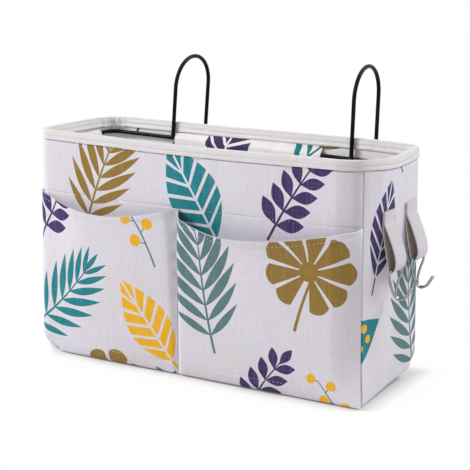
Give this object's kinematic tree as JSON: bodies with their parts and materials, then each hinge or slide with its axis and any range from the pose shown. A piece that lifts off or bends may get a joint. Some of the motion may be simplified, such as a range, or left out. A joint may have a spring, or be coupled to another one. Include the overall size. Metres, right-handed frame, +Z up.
{
  "type": "bedside caddy",
  "caption": "Stiffened cloth bedside caddy with a bound rim, front pockets, wire hooks that hang it on a bed rail, and strap loops with key hooks on one end.",
  "frame": {"origin": "middle of the underside of the box, between its four walls", "axes": "+X towards the end with the straps, +Y towards the bed hooks at the back, +Z up"},
  "size_m": [0.3454, 0.17, 0.2606],
  "materials": {
    "outer_cloth": "printed cotton and linen weave, matte",
    "lining_cloth": "printed cotton and linen weave, matte",
    "binding_cloth": "plain woven tape, matte",
    "board": "plain stiff sheet, hidden",
    "black_wire": "gloss black",
    "nickel_wire": "bright nickel plate"
  },
  "bodies": {
    "caddy": {"outer_front": "outer_cloth", "outer_back": "outer_cloth", "outer_left": "outer_cloth", "outer_right": "outer_cloth", "outer_base": "outer_cloth", "pocket_left": "outer_cloth", "pocket_right": "outer_cloth", "strap_tab_front": "outer_cloth", "strap_tab_rear": "outer_cloth", "lining_front": "lining_cloth", "lining_back": "lining_cloth", "lining_left": "lining_cloth", "lining_right": "lining_cloth", "lining_base": "lining_cloth", "sleeve_back": "lining_cloth", "sleeve_front": "lining_cloth", "sleeve_left": "lining_cloth", "sleeve_right": "lining_cloth", "board_front": "board", "board_back": "board", "board_left": "board", "board_right": "board", "board_base": "board", "rim_binding": "binding_cloth", "frame_ring": "black_wire", "bed_hook_left": "black_wire", "bed_hook_right": "black_wire"},
    "strap_front": {"strap_loop_front": "outer_cloth"},
    "key_front": {"key_hook_front": "nickel_wire"},
    "strap_rear": {"strap_loop_rear": "outer_cloth"},
    "key_rear": {"key_hook_rear": "nickel_wire"}
  },
  "joints": [
    {"name": "front_strap_swing", "type": "hinge", "parent": "caddy", "child": "strap_front", "pos_m": [0.1615, -0.0145, 0.149], "axis": [0, -1, 0], "range_deg": [0, 95]},
    {"name": "front_key_hook_swing", "type": "hinge", "parent": "strap_front", "child": "key_front", "pos_m": [0.169, -0.0145, 0.1095], "axis": [0, -1, 0], "range_deg": [0, 100]},
    {"name": "rear_strap_swing", "type": "hinge", "parent": "caddy", "child": "strap_rear", "pos_m": [0.1615, 0.03, 0.149], "axis": [0, -1, 0], "range_deg": [0, 95]},
    {"name": "rear_key_hook_swing", "type": "hinge", "parent": "strap_rear", "child": "key_rear", "pos_m": [0.169, 0.03, 0.1095], "axis": [0, -1, 0], "range_deg": [0, 100]}
  ]
}
